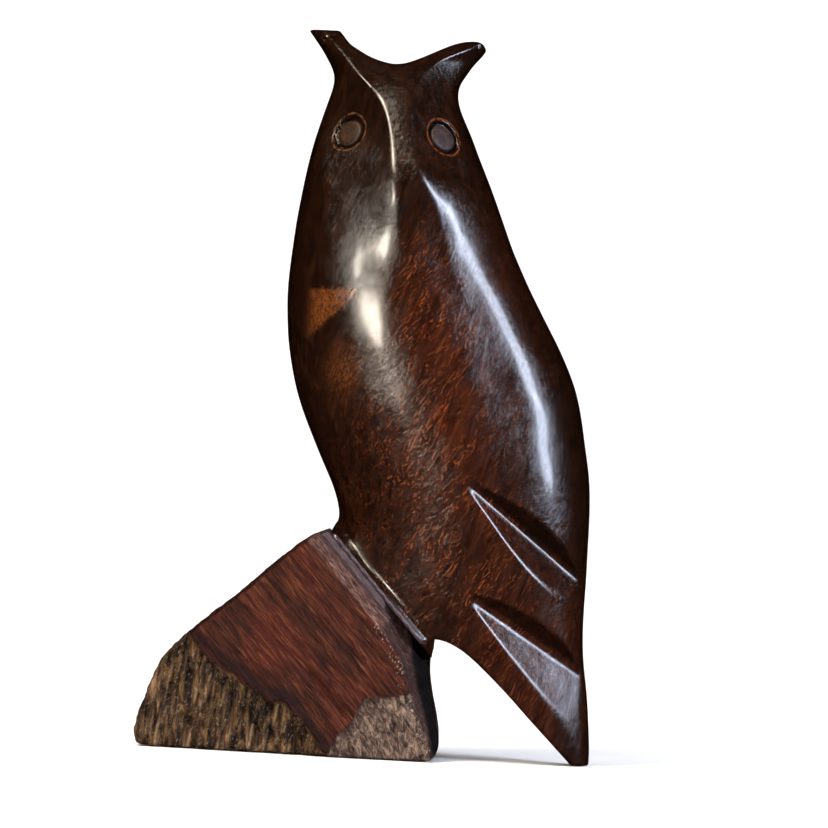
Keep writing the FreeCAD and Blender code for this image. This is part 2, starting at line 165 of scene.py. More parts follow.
# Face: how far forward the beak, forehead and crown lie by height, and the two edges of that strip.
STRIP = Curve((84, -23.4), (96, -22.6), (104, -22.1), (112, -21.7), (118, -21.3), (122, -20.2), (126, -18.4),
              (131, -16.3), (136.6, -13.2), (140, -10.4), (142.5, -7.9), (145.5, -4.3), (150, 1.6))
STRIP_LEFT = Curve((90, 8.2), (98, 5.8), (106, 3.6), (112.5, 1.9), (120.3, 0.5), (126, -0.4),
                   (131.1, -1.5), (136.6, -4.3), (139.9, -7.4), (142.7, -10.1), (145.7, -12.7), (150, -16.0))
STRIP_RIGHT = Curve((90, 18.5), (98, 15.2), (106, 12.0), (115.8, 8.6), (121.4, 5.6), (126.2, 4.3),
                    (132.8, 3.2), (136.7, 3.3), (139.4, 4.1), (142.1, 5.9), (145.0, 9.7), (147.4, 14.6),
                    (150, 18.0))
# How fast each cheek falls back sideways from the strip, by height.
CHEEK_SLOPES = {
    -1: Curve((84, 0.16), (94, 0.19), (102, 0.24), (108, 0.27), (114, 0.31), (119, 0.42), (124, 0.66),
              (128, 0.80), (150, 0.80)),
    1: Curve((96, 0.35), (106, 0.50), (116, 0.62), (124, 0.78), (128, 0.81), (150, 0.81)),
}

SEAT_TOP, SEAT_FOOT = np.array([-9.3, 46.1]), np.array([13.1, 21.3])
NOTCH = Curve((-18.4, 158), (-14.0, 151.6), (-12.8, 150.2), (-11.8, 149.0), (-10.5, 147.4), (-8.5, 146.0),
              (-6.4, 144.8), (-3.2, 143.6), (0.1, 143.2), (2.6, 143.9), (5.1, 145.0), (9.6, 147.3),
              (13.7, 148.8), (15.8, 149.0), (17.2, 148.6), (18.1, 147.6), (19.0, 145.8), (20.0, 143.4))


def seat_place(p):
    """Along the seat from its middle, and height above it."""
    middle, down = (SEAT_TOP + SEAT_FOOT) / 2, unit(SEAT_FOOT - SEAT_TOP)
    out = np.array([-down[1], down[0]])
    out = out if out[0] > 0 else -out
    q = p[:, [0, 2]] - middle
    return q @ down, q @ out


def form(p):
    """The rounded body before any cut, about in millimetres from its surface."""
    x, y, z = p.T
    left, right = LEFT(z), RIGHT(z)
    centre, half = (left + right) / 2, (right - left) / 2
    swell = 0.8 * np.exp(-(((x - CREST(z)) / 9.0) ** 2)) - 1.3 * np.exp(-(((x - HOLLOW(z)) / 6.5) ** 2))
    fade = smooth_step(z, 44, 80) * (1 - smooth_step(z, 112, 121))
    reach_front = FRONT(z) + 0.9 * swell * fade
    reach_back = BACK(z) + 0.8 * swell * fade * (1 - smooth_step(z, 96, 106))
    reach = np.where(y < 0, reach_front, reach_back)
    power = 2 + 0.12 * smooth_step(x - centre, 0, 12) * (1 - smooth_step(z, 112, 124))
    ear_shift = 6.5 * smooth_step(z, 132, 149)
    y = y - ear_shift
    reach = reach + np.where(y < 0, ear_shift, -ear_shift)
    u, v = np.abs(x - centre) / half, np.abs(y) / reach
    ring = (u**power + v**power) ** (1 / power)
    return (ring - 1) * np.minimum(half, reach)


def steepness(field, p, size=0.05):
    """The slope of a field at each point."""
    steps = np.eye(3) * size
    return np.stack([(field(p + s) - field(p - s)) / (2 * size) for s in steps], axis=1)


def rounded_form(p):
    """form() scaled so that it grows by about one per millimetre near the surface."""
    value = form(p)
    near = np.abs(value) < 6
    if near.any():
        slope = np.linalg.norm(steepness(form, p[near]), axis=1)
        value[near] /= np.clip(slope, 0.35, 3)
    return value


def wing_wedge(p, side, start, end, facet_leans, wall_lean):
    """Negative inside a long V whose valley runs from start to end."""
    first = np.array([start[0], side * start[1], start[2]])
    run = np.array([end[0], side * end[1], end[2]]) - first
    along = unit(run)
    outward = unit(np.array([0, side, 0]) - along * along[1] * side)
    across = np.cross(along, outward)
    across = across if across[2] < 0 else -across
    q = p - first
    share = np.clip(q @ along / np.linalg.norm(run), 0, 1.4)
    tilt = np.radians(facet_leans[0] + (facet_leans[1] - facet_leans[0]) * share)
    back = math.radians(wall_lean)
    facet = (q @ outward) * np.cos(tilt) - (q @ across) * np.sin(tilt)
    wall = across * math.cos(back) + outward * math.sin(back)
    return smooth_max(-facet, -(q @ wall), VALLEY_RADIUS)


VALLEY_RADIUS = 2.0
# Each cut: where its valley starts and ends, the lean of its facet at both ends, the lean of its wall.
WING_CUTS = (
    ((21.4, 18.2, 55.6), (42.9, 6.3, 39.0), (48, 40), 46),
    ((20.9, 16.4, 34.2), (44.4, 3.6, 20.0), (35, 24), 46),
)


def waviness(p):
    """Shallow marks of the knife under the polish."""
    return 0.06 * noise(p / 9.0, 3) + 0.045 * noise(p * np.array([1 / 3.6, 1 / 3.6, 1 / 6.5]), 7)


def strip_crown(x, z):
    """How far the forehead falls back towards its two edges, most on the left."""
    across = np.clip(STRIP_RIGHT(z) - x, 0, 9) - 2.5
    return 0.019 * across**2 * smooth_step(z, 120, 130) * (1 - smooth_step(z, 141, 147))


def cheek_y(x, z, side):
    """How far forward a cheek lies: it falls back from the strip, rounding over below the eye."""
    away = side * (x - (STRIP_LEFT(z) if side < 0 else STRIP_RIGHT(z)))
    curl = 0.06 * (1 - smooth_step(z, 118, 126)) * smooth_step(z, 98, 116)
    ahead = np.maximum(away, 0)
    start = STRIP(z) + strip_crown(STRIP_LEFT(z) if side < 0 else STRIP_RIGHT(z), z)
    return start + CHEEK_SLOPES[side](z) * away + curl * ahead**2 / (1 + ahead / 4)


def eye_place(side, x, z):
    """Middle of an eye on the cut cheek, and the cheek's facing there."""
    y = cheek_y(np.array([x]), np.array([z]), side)[0]
    step = 2.0
    dz = (cheek_y(np.array([x]), np.array([z + step]), side)[0]
          - cheek_y(np.array([x]), np.array([z - step]), side)[0]) / (2 * step)
    return np.array([x, y, z]), unit([side * CHEEK_SLOPES[side](z), -1, dz])


# From the middle of an eye plug to the point of the cheek above it, sideways and up.
PLUG_OUT, PLUG_UP = 1.69, 0.77


def find_eye(name, side):
    """Middle and facing of an eye on its cheek, from the box of its plug."""
    low, high = (np.array(c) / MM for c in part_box(name))
    plug = (low + high) / 2
    return eye_place(side, plug[0] + side * PLUG_OUT, plug[2] + PLUG_UP)


EYES = {-1: find_eye("left_eye_plug", -1), 1: find_eye("right_eye_plug", 1)}


def eye_polar(p, side):
    """Distance from the eye's axis, angle round it, and height above the cheek."""
    centre, facing = EYES[side]
    right = unit(np.cross([0, 0, 1.0], facing))
    up = np.cross(facing, right)
    q = p - centre
    a, b = q @ right, q @ up
    return np.hypot(a, b), np.arctan2(b, a), q @ facing


def eye_wobble(turn, side):
    """How a hand-cut circle strays from round."""
    return 0.09 * np.cos(2 * turn + side) + 0.06 * np.cos(3 * turn + 1.3) + 0.03 * np.cos(7 * turn + side)


GROOVE_RADIUS, GROOVE_DEPTH = 3.6, {-1: 0.6, 1: 1.1}
BORE_RADIUS, BORE_DEPTH = 3.0, 4.8


def eye_socket(p, side):
    """Negative inside the ring groove and the hole under the plug."""
    radius, turn, height = eye_polar(p, side)
    rim = GROOVE_RADIUS + 1.3 * eye_wobble(turn + 0.5, side)
    groove = np.maximum(radius - rim, -(height + GROOVE_DEPTH[side]))
    bore = np.maximum(radius - BORE_RADIUS, -(height + BORE_DEPTH))
    return np.minimum(groove, bore)


FOOT_MIDDLE, FOOT_REACH, FOOT_HALF_WIDTH, FOOT_THICKNESS = -1.5, 14.4, 16.4, 0.9


def plate(p):
    """The thin foot that spreads the owl over its seat."""
    s, t = seat_place(p)
    span = smooth_max(np.abs(s - FOOT_MIDDLE) - FOOT_REACH, np.abs(p[:, 1]) - FOOT_HALF_WIDTH, 2.0)
    return smooth_max(span, t - FOOT_THICKNESS, 0.35)


# Underside of the tail by x, from the arch behind the perch down to the tail tip.
UNDERTAIL = Curve((10, 24.6), (14.5, 24.9), (18.1, 23.7), (23.3, 19.9), (28.4, 15.1), (33.2, 10.1),
                  (39.2, 4.1), (43.3, 0.0), (50, -7))
UNDERTAIL_START = 13.6
TOP = 149.9


def owl_field(p):
    """The owl: negative inside, about in millimetres near its surface."""
    x, y, z = p.T
    f = rounded_form(p)
    # face: the strip of beak and forehead, a cheek on each side
    strip = (STRIP(z) + strip_crown(x, z) - y) * 0.9
    cheeks = [(cheek_y(x, z, side) - y) / np.hypot(1.06, CHEEK_SLOPES[side](z)) for side in (-1, 1)]
    face = smooth_max(smooth_max(*cheeks, 0.35), strip, 0.35)
    easing = (1.4 + 4.0 * (1 - smooth_step(z, 100, 120))
              + 3.0 * smooth_step(x, 0, 12) * (1 - smooth_step(z, 112, 126)))
    f = smooth_max(f, face - 4.0 * (1 - smooth_step(z, 70, 112)), easing)
    for side in (-1, 1):
        f = smooth_max(f, -eye_socket(p, side), 0.12)
    # ear notch
    f = smooth_max(f, (z - NOTCH(x)) * 0.85, 0.5)
    # foot and the cuts below
    s, t = seat_place(p)
    f = smooth_min(f, plate(p), 2.2 + 1.8 * (1 - smooth_step(s, -13, -6)))
    f = smooth_max(f, -t, 0.25)
    under = np.where(x < UNDERTAIL_START, -20, (UNDERTAIL(x) - z) * 0.74)
    f = smooth_max(f, under, 0.8)
    f = smooth_max(f, -z, 0.4)
    f = smooth_max(f, z - TOP, 0.5)
    for side in (-1, 1):
        for cut in WING_CUTS:
            f = smooth_max(f, -wing_wedge(p, side, *cut), 0.45)
    return f + waviness(p)


# ---------------------------------------------------------------- meshing


def graded(low, high, step, fine=None):
    """Grid lines from low to high, closer together inside the fine range (low, high, step)."""
    if fine is None:
        return np.arange(low, high + step, step)
    before = np.arange(fine[0], low - step, -step)[::-1]
    inner = np.arange(fine[0], fine[1], fine[2])[1:]
    return np.concatenate([before, inner, np.arange(inner[-1] + fine[2], high + step, step)])


def net(field, axes, rounds=3):
    """Points, quads and outward directions of the zero surface of a field on a grid."""
    shape = tuple(len(a) for a in axes)
    step = min(np.diff(a).min() for a in axes)
    values = np.empty(shape)
    for i, x in enumerate(axes[0]):
        yy, zz = np.meshgrid(axes[1], axes[2], indexing="ij")
        p = np.stack([np.full(yy.size, x), yy.ravel(), zz.ravel()], axis=1)
        values[i] = field(p).reshape(shape[1:])
    inside = values < 0
    corner = [(i, j, k) for i in (0, 1) for j in (0, 1) for k in (0, 1)]
    core = tuple(n - 1 for n in shape)

    def shifted(grid, c):
        return grid[tuple(slice(o, o + n) for o, n in zip(c, core))]

    count = sum(shifted(inside, c).astype(np.int8) for c in corner)
    active = (count > 0) & (count < 8)
    cells = np.argwhere(active)
    index = np.full(core, -1, np.int64)
    index[active] = np.arange(len(cells))
    total, hits = np.zeros((len(cells), 3)), np.zeros(len(cells))
    at = {c: values[tuple((cells + c).T)] for c in corner}
    for c in corner:
        for axis in range(3):
            if c[axis]:
                continue
            d = tuple(o + (n == axis) for n, o in enumerate(c))
            a, b = at[c], at[d]
            cut = (a < 0) != (b < 0)
            part = np.where(cut, a / np.where(cut, a - b, 1), 0)
            place = np.tile(np.array(c, float), (len(cells), 1))
            place[:, axis] += part
            total[cut] += place[cut]
            hits += cut
    share = total / hits[:, None]
    points = np.stack([a[c] + f * (a[c + 1] - a[c]) for a, c, f in zip(axes, cells.T, share.T)], axis=1)
    quads = []
    for axis in range(3):
        one, two = [(1, 2), (2, 0), (0, 1)][axis]
        n = list(shape)
        n[axis] -= 1
        body = [slice(0, n[axis]) if a == axis else slice(1, shape[a] - 1) for a in range(3)]
        ahead = list(body)
        ahead[axis] = slice(1, n[axis] + 1)
        a, b = inside[tuple(body)], inside[tuple(ahead)]
        edges = np.argwhere(a != b)
        start = np.array([s.start for s in body])
        outward = a[tuple(edges.T)]
        edges = edges + start
        around = []
        for da, db in ((1, 1), (0, 1), (0, 0), (1, 0)):
            cell = edges.copy()
            cell[:, one] -= da
            cell[:, two] -= db
            around.append(index[tuple(cell.T)])
        quad = np.stack(around, axis=1)
        quad[~outward] = quad[~outward][:, ::-1]
        quads.append(quad)
    quads = np.concatenate(quads)
    for _ in range(rounds):
        slope = steepness(field, points)
        size = np.maximum((slope**2).sum(axis=1), 0.05)
        move = np.clip(field(points) / size, -0.6 * step, 0.6 * step)
        points = points - slope * move[:, None]
    slope = steepness(field, points)
    facing = slope / np.maximum(np.linalg.norm(slope, axis=1), 1e-6)[:, None]
    return points, quads, facing


def make_piece(name, points, quads, facing, material, masks=None):
    """A Blender mesh from points in millimetres, shaded by the true directions of its surface."""
    mesh = bpy.data.meshes.new(name)
    mesh.from_pydata((points * MM).tolist(), [], quads.tolist())
    mesh.validate()
    mesh.shade_smooth()
    if len(mesh.vertices) == len(facing):
        mesh.normals_split_custom_set_from_vertices(facing.tolist())
    for mask, values in (masks or {}).items():
        layer = mesh.attributes.new(mask, "FLOAT", "POINT")
        layer.data.foreach_set("value", np.ascontiguousarray(values, np.float32))
    piece = bpy.data.objects.new(name, mesh)
    bpy.context.scene.collection.objects.link(piece)
    mesh.materials.append(material)
    return piece


# ---------------------------------------------------------------- materials


class Nodes:
    """Short words for building a node tree."""

    def __init__(self, name):
        self.material = bpy.data.materials.new(name)
        self.material.use_nodes = True
        self.tree = self.material.node_tree
        self.shader = self.tree.nodes["Principled BSDF"]
        self.place = self.add("ShaderNodeTexCoord").outputs["Object"]

    def add(self, kind, **settings):
        node = self.tree.nodes.new(kind)
        for name, value in settings.items():
            setattr(node, name, value)
        return node

    def feed(self, socket, value):
        if isinstance(value, bpy.types.NodeSocket):
            self.tree.links.new(value, socket)
        else:
            socket.default_value = value

    def stretched(self, turn, size):
        """Object coordinates turned, then scaled to a number of features per millimetre."""
        turned = self.add("ShaderNodeMapping", vector_type="TEXTURE")
        turned.inputs["Rotation"].default_value = [math.radians(a) for a in turn]
        self.feed(turned.inputs["Vector"], self.place)
        scaled = self.add("ShaderNodeMapping", vector_type="POINT")
        scaled.inputs["Scale"].default_value = [s / MM for s in size]
        self.feed(scaled.inputs["Vector"], turned.outputs["Vector"])
        return scaled.outputs["Vector"]

    def grain(self, where, scale=1.0, detail=4.0, rough=0.55, bend=0.0):
        node = self.add("ShaderNodeTexNoise")
        self.feed(node.inputs["Vector"], where)
        for name, value in (("Scale", scale), ("Detail", detail), ("Roughness", rough), ("Distortion", bend)):
            node.inputs[name].default_value = value
        return node.outputs["Fac"]

    def ramp(self, value, *stops):
        node = self.add("ShaderNodeValToRGB")
        ramp = node.color_ramp
        while len(ramp.elements) < len(stops):
            ramp.elements.new(0.5)
        for element, (place, colour) in zip(ramp.elements, stops):
            element.position = place
            element.color = (*colour, 1) if isinstance(colour, tuple) else (colour, colour, colour, 1)
        self.feed(node.inputs["Fac"], value)
        return node.outputs["Color"]

    def math(self, what, a, b=0.0, clamp=False):
        node = self.add("ShaderNodeMath", operation=what, use_clamp=clamp)
        self.feed(node.inputs[0], a)
        self.feed(node.inputs[1], b)
        return node.outputs[0]

    def mix(self, amount, a, b, how="MIX"):
        node = self.add("ShaderNodeMix", data_type="RGBA", blend_type=how)
        colours = [s for s in node.inputs if s.type == "RGBA"]
        self.feed(node.inputs["Factor"], amount)
        for socket, value in zip(colours, (a, b)):
            self.feed(socket, (*value, 1) if isinstance(value, tuple) else value)
        return next(s for s in node.outputs if s.type == "RGBA")

    def mask(self, name):
        return self.add("ShaderNodeAttribute", attribute_name=name).outputs["Fac"]

    def ring(self, centre, axis, radius, half_width):
        """1 on a thin ring about an axis, 0 away from it, in millimetres."""
        offset = self.add("ShaderNodeVectorMath", operation="SUBTRACT")
        self.feed(offset.inputs[0], self.place)
        offset.inputs[1].default_value = [c * MM for c in centre]
        cross = self.add("ShaderNodeVectorMath", operation="CROSS_PRODUCT")
        self.feed(cross.inputs[0], offset.outputs["Vector"])
        cross.inputs[1].default_value = [float(c) for c in axis]
        length = self.add("ShaderNodeVectorMath", operation="LENGTH")
        self.feed(length.inputs[0], cross.outputs["Vector"])
        away = self.math("ABSOLUTE", self.math("SUBTRACT", length.outputs["Value"], radius * MM))
        return self.math("SUBTRACT", 1.0, self.math("DIVIDE", away, half_width * MM), clamp=True)

    def bump(self, height, distance, strength=1.0, after=None):
        node = self.add("ShaderNodeBump")
        self.feed(node.inputs["Height"], height)
        node.inputs["Distance"].default_value = distance * MM
        node.inputs["Strength"].default_value = strength
        if after is not None:
            self.feed(node.inputs["Normal"], after)
        return node.outputs["Normal"]

    def finish(self, colour, roughness, normal):
        self.feed(self.shader.inputs["Base Color"], colour)
        self.feed(self.shader.inputs["Roughness"], roughness)
        self.feed(self.shader.inputs["Normal"], normal)
        return self.material


def srgb(text):
    """A colour written as six hex digits, as linear numbers."""
    parts = [int(text[i : i + 2], 16) / 255 for i in (0, 2, 4)]
    return tuple(c / 12.92 if c <= 0.04045 else ((c + 0.055) / 1.055) ** 2.4 for c in parts)


def polished_ironwood():
    n = Nodes("polished_ironwood")
    broad = n.grain(n.stretched((0, 12, 0), (0.045, 0.045, 0.022)), detail=3, bend=0.6)
    streak = n.grain(n.stretched((0, 18, 0), (0.55, 0.55, 0.09)), detail=6, bend=1.2)
    curl = n.grain(n.stretched((0, 34, 0), (1.0, 1.0, 0.24)), detail=6, rough=0.62, bend=2.4)
    patches = n.grain(n.stretched((0, 30, 0), (0.16, 0.16, 0.07)), detail=4, bend=1.2)
    fine = n.grain(n.stretched((0, 14, 0), (3.2, 3.2, 0.5)), detail=4, rough=0.6)
    dark = n.ramp(streak, (0.3, srgb("0b0402")), (0.5, srgb("150803")), (0.72, srgb("231006")))
    warm = n.ramp(streak, (0.28, srgb("190803")), (0.5, srgb("311206")), (0.75, srgb("4b210c")))
    base = n.mix(n.math("MULTIPLY", n.mask("warmth"), n.ramp(broad, (0.3, 0.4), (0.65, 1.0))), dark, warm)
    flame = n.ramp(curl, (0.46, srgb("2e1207")), (0.56, srgb("50220b")), (0.70, srgb("7c4018")))
    amount = n.math("MULTIPLY", n.mask("figure"), n.ramp(curl, (0.46, 0.0), (0.62, 0.9)))
    amount = n.math("MULTIPLY", amount, n.ramp(patches, (0.40, 0.1), (0.58, 1.0)))
    base = n.mix(amount, base, flame)
    amber = n.ramp(curl, (0.38, srgb("301606")), (0.62, srgb("6c3a15")))
    base = n.mix(n.math("MULTIPLY", n.mask("amber"), 0.85), base, amber)
    # painted shade: the downward-facing walls of the wing cuts are darkened towards near black
    base = n.mix(n.math("MULTIPLY", n.mask("cut_wall_shade"), 0.8), base, srgb("0a0402"))
    base = n.mix(n.math("MULTIPLY", n.mask("foot"), 0.8), base, srgb("463a3d"))
    base = n.mix(0.45, base, n.ramp(fine, (0.35, 0.5), (0.6, 1.0)), "MULTIPLY")
    roughness = n.ramp(n.grain(n.stretched((0, 14, 0), (0.5, 0.5, 0.2)), detail=5), (0.35, 0.16), (0.7, 0.26))
    chip_and_glint_spots = n.grain(n.stretched((0, 0, 0), (1.1, 1.1, 1.1)), detail=3)
    # Each eye's rim: lighter chipped bare wood, partly a painted highlight on that rim.
    for side in (-1, 1):
        centre, facing = EYES[side]
        lip = n.math("MULTIPLY", n.ring(centre, facing, 4.2, 0.32), n.ramp(chip_and_glint_spots, (0.42, 0.1), (0.56, 1.0)))
        lip = n.math("MULTIPLY", lip, n.mask("front"))
        base = n.mix(n.math("MULTIPLY", lip, 0.75), base, srgb("5e4028" if side < 0 else "6e3818"))
    normal = n.bump(n.grain(n.stretched((0, 60, 0), (0.9, 0.9, 0.35)), detail=3), 0.10, 0.8)
    normal = n.bump(curl, 0.10, 0.7, normal)
    normal = n.bump(n.ramp(fine, (0.25, 0.0), (0.42, 1.0)), 0.02, 0.7, normal)
    n.shader.inputs["Coat Weight"].default_value = 0.5
    n.shader.inputs["Coat Roughness"].default_value = 0.14
    return n.finish(base, roughness, normal)


# Turn of the streaks of the sawn faces about Y, in degrees.
SAWN_GRAIN = (0, -42, 0)


def rasped_wood():
    n = Nodes("rasped_wood")
    streak = n.grain(n.stretched(SAWN_GRAIN, (1.5, 0.6, 0.13)), detail=7, rough=0.68, bend=1.1)
    fine = n.grain(n.stretched(SAWN_GRAIN, (4.0, 2.0, 0.5)), detail=5, rough=0.7)
    broad = n.grain(n.stretched(SAWN_GRAIN, (0.11, 0.1, 0.05)), detail=3, bend=0.5)
    plain = n.ramp(streak, (0.3, srgb("140805")), (0.45, srgb("2a120a")), (0.58, srgb("442012")),
                   (0.74, srgb("6e4226")))
    red = n.ramp(streak, (0.3, srgb("1e0a06")), (0.5, srgb("42190e")), (0.74, srgb("744028")))
    sawn = n.mix(n.ramp(broad, (0.45, 0.0), (0.62, 1.0)), plain, red)
    fibre = n.grain(n.stretched((0, 6, 0), (1.0, 1.0, 0.06)), detail=5, rough=0.6, bend=0.25)
    weathered = n.ramp(fibre, (0.34, srgb("140c08")), (0.46, srgb("3c2a1e")), (0.57, srgb("62492f")),
                       (0.70, srgb("94775a")))
    stain = n.grain(n.stretched((0, 15, 0), (0.3, 0.3, 0.1)), detail=4, rough=0.6, bend=0.8)
    stained = n.ramp(stain, (0.40, srgb("8c867a")), (0.60, srgb("ffffff")))
    weathered = n.mix(1.0, weathered, stained, "MULTIPLY")
    ashes = n.grain(n.stretched((0, -20, 0), (0.9, 0.9, 0.4)), detail=7, rough=0.75, bend=0.8)
    grey = n.ramp(ashes, (0.38, srgb("1c110d")), (0.5, srgb("4c3c34")), (0.62, srgb("8a7464")))
    bevel = n.ramp(fine, (0.34, srgb("2a1814")), (0.5, srgb("5c4038")), (0.66, srgb("94766c")))
    rim = n.ramp(fine, (0.35, srgb("42363a")), (0.65, srgb("5a4c50")))
    # painted shade with a painted lavender sheen for the side of the heel that turns away
    heel = n.ramp(fine, (0.34, srgb("170c0a")), (0.66, srgb("46322e")))
    specks = n.grain(n.stretched((0, 30, 0), (2.6, 2.6, 1.1)), detail=4, rough=0.6)
    pale_glint_dots = n.ramp(specks, (0.58, 0.0), (0.70, 1.0))
    # painted shadow: a dark band on the sawn face along its edge above the split wood
    colour = n.mix(n.math("MULTIPLY", n.mask("step_shadow"), 0.75), sawn, srgb("1a0c0c"))
    colour = n.mix(n.mask("weathered"), colour, weathered)
    colour = n.mix(n.mask("grey"), colour, grey)
    # painted glints: pale flecks over the split wood, and on the heel's front edge partly chipped wood,
    # partly a painted glint
    chip_and_glint_spots = n.math("MAXIMUM", n.math("MULTIPLY", n.mask("weathered"), 0.3), n.mask("edge_chip_glints"))
    colour = n.mix(n.math("MULTIPLY", pale_glint_dots, chip_and_glint_spots), colour, srgb("b8aa9a"))
    colour = n.mix(n.math("MULTIPLY", n.mask("bevel"), 0.85), colour, bevel)
    colour = n.mix(n.mask("rim"), colour, rim)
    colour = n.mix(n.math("MULTIPLY", n.mask("heel"), 0.9), colour, heel)
    colour = n.mix(n.mask("shade"), colour, srgb("080403"))
    colour = n.mix(0.6, colour, n.ramp(fine, (0.3, 0.35), (0.6, 1.0)), "MULTIPLY")
    rough = n.ramp(fibre, (0.35, 0.7), (0.7, 0.38))
    roughness = n.mix(n.mask("rim"), rough, srgb("5a5a5a"))
    n.shader.inputs["Specular IOR Level"].default_value = 0.1
    gouge = n.mix(n.mask("weathered"), streak, fibre)
    normal = n.bump(gouge, 0.5, 0.9)
    normal = n.bump(fine, 0.2, 0.9, normal)
    return n.finish(colour, roughness, normal)


def eye_wood(name, dark, light):
    n = Nodes(name)
    rings = n.grain(n.stretched((0, 0, 0), (0.9, 0.9, 0.9)), detail=5, bend=1.0)
    colour = n.ramp(rings, (0.3, srgb(dark)), (0.7, srgb(light)))
    fine = n.grain(n.stretched((0, 0, 0), (5, 5, 5)), detail=3)
    n.shader.inputs["Specular IOR Level"].default_value = 0.25
    return n.finish(colour, n.ramp(fine, (0.3, 0.3), (0.7, 0.55)), n.bump(fine, 0.08, 0.8))


def dowel_wood():
    n = Nodes("dowel_wood")
    line = n.grain(n.stretched((0, -41.8, 0), (0.25, 2.2, 2.2)), detail=4)
    colour = n.ramp(line, (0.3, srgb("a5805a")), (0.7, srgb("cfae84")))
    return n.finish(colour, n.ramp(line, (0.3, 0.5), (0.7, 0.7)), n.bump(line, 0.05, 0.7))


# ---------------------------------------------------------------- pieces


def blob(p, centre, size):
    """A soft patch by its middle and its reach in x and z."""
    d = (p[:, [0, 2]] - np.array(centre)) / np.array(size)
    return np.exp(-(d**2).sum(axis=1))


def wedge_patch(p):
    """A small three-cornered patch of pale sapwood on the breast."""
    x, z = p[:, 0], p[:, 2]
    ragged = 0.3 * noise(p / 1.3, 61)
    top = 96.2 - z + ragged
    under = z - 87.4 - 0.965 * (x + 13.7) + ragged
    left = x + 16.8
    return smooth_step(top, 0, 0.6) * smooth_step(under, 0, 0.6) * smooth_step(left, 0, 3.0)


def make_owl():
    fine = 0.62 * STEP_OWL
    axes = [graded(-23, 49, STEP_OWL, (-15, 15, 0.75 * STEP_OWL)), graded(-24, 23, STEP_OWL),
            graded(-2, 152, 1.1 * STEP_OWL, (121, 152, fine))]
    points, quads, facing = net(owl_field, axes)
    figure = np.clip(1.2 * blob(points, (9, 66), (13, 30)) + 0.9 * blob(points, (20, 40), (14, 16))
                     + 0.9 * blob(points, (7, 96), (5, 14)) + 0.5 * blob(points, (30, 18), (12, 14)), 0, 1)
    warmth = np.clip(blob(points, (14, 70), (15, 36)) + 0.8 * blob(points, (34, 20), (14, 26)), 0, 1)
    front = smooth_step(-points[:, 1], 2, 6)
    amber = front * (wedge_patch(points) + 0.65 * blob(points, (-7.8, 79.6), (3.4, 4.6)))
    # Painted shade: downward-facing surfaces inside the wing cuts, where the shadow falls.
    cut_wall_shade = (smooth_step(-facing[:, 2], 0.3, 0.62) * smooth_step(points[:, 0], 18, 21)
              * smooth_step(points[:, 2], 17, 20) * (1 - smooth_step(points[:, 2], 58, 62)))
    t = seat_place(points)[1]
    foot = (1 - smooth_step(t, 1.0, 1.3)) * smooth_step(np.abs(points[:, 1]), 14.8, 15.6)
    masks = {"figure": figure, "warmth": warmth, "amber": amber, "cut_wall_shade": cut_wall_shade, "foot": foot,
             "front": front}
    owl = make_piece("owl_body_visual", points, quads, facing, polished_ironwood(), masks)
    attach(owl, "root")
    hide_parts("owl_body")


# ---------------------------------------------------------------- the perch, in millimetres

PERCH_LEFT = Curve((0, -46.2), (2.5, -47.0), (6, -46.7), (10, -45.4), (15, -43.4), (18, -42.1), (20, -40.5),
                   (26, -34.2), (32, -27.2), (38, -20.8), (44, -14.0), (50, -7.2))
PERCH_RIGHT = Curve((0, 14.2), (2, 15.3), (6, 15.5), (10, 14.7), (15, 13.6), (20, 13.1), (24, 13.4),
                    (30, 14.5))
CREST_LINE = Curve((-20, 40.5), (-14.0, 44.2), (-9.5, 46.0), (-7.0, 46.9), (0, 48))
# Lower edge of the sawn face and the upper edge of the split wood under it, by x.
SAWN_EDGE = Curve((-48, 30), (-42, 26.5), (-34.4, 21.5), (-29.1, 16.7), (-25.5, 15.2), (-21.3, 11.4),
                  (-14.7, 9.6), (-11.8, 6.0), (-7.5, 0), (-2, -9))
GREY_EDGE = Curve((-8, -2), (-5.1, 4.1), (-2.7, 6.9), (-1.1, 10.3), (1.9, 12.4), (6.7, 13.4), (12, 13.8))
HALF_DEPTH = 18.5
# Half the depth of the raised rim that carries the owl.
RIM = 16.5
# Width of the bevel between the seat and the front and back faces.
BEVEL = 4.2
RASP_TURN = math.radians(-48)


def rasp_place(p):
    """Along and across the rasp marks of the sawn faces."""
    x, z = p[:, 0], p[:, 2]
    along = x * math.cos(RASP_TURN) + z * math.sin(RASP_TURN)
    return along, -x * math.sin(RASP_TURN) + z * math.cos(RASP_TURN)


def split_amount(p):
    """1 on the split, weathered wood at the lower left of the front, 0 elsewhere."""
    ragged = 0.9 * noise(p * np.array([0.55, 0.1, 0.3]), 21)
    below = SAWN_EDGE(p[:, 0]) - p[:, 2] + ragged
    return smooth_step(below, -0.3, 0.9) * smooth_step(-p[:, 1], 0, 8)


def grey_amount(p):
    ragged = 0.7 * noise(p * 0.6, 22)
    below = GREY_EDGE(p[:, 0]) - p[:, 2] + ragged
    return smooth_step(below, -0.3, 0.7) * smooth_step(p[:, 0], -8.5, -6) * smooth_step(-p[:, 1], 8, 14)


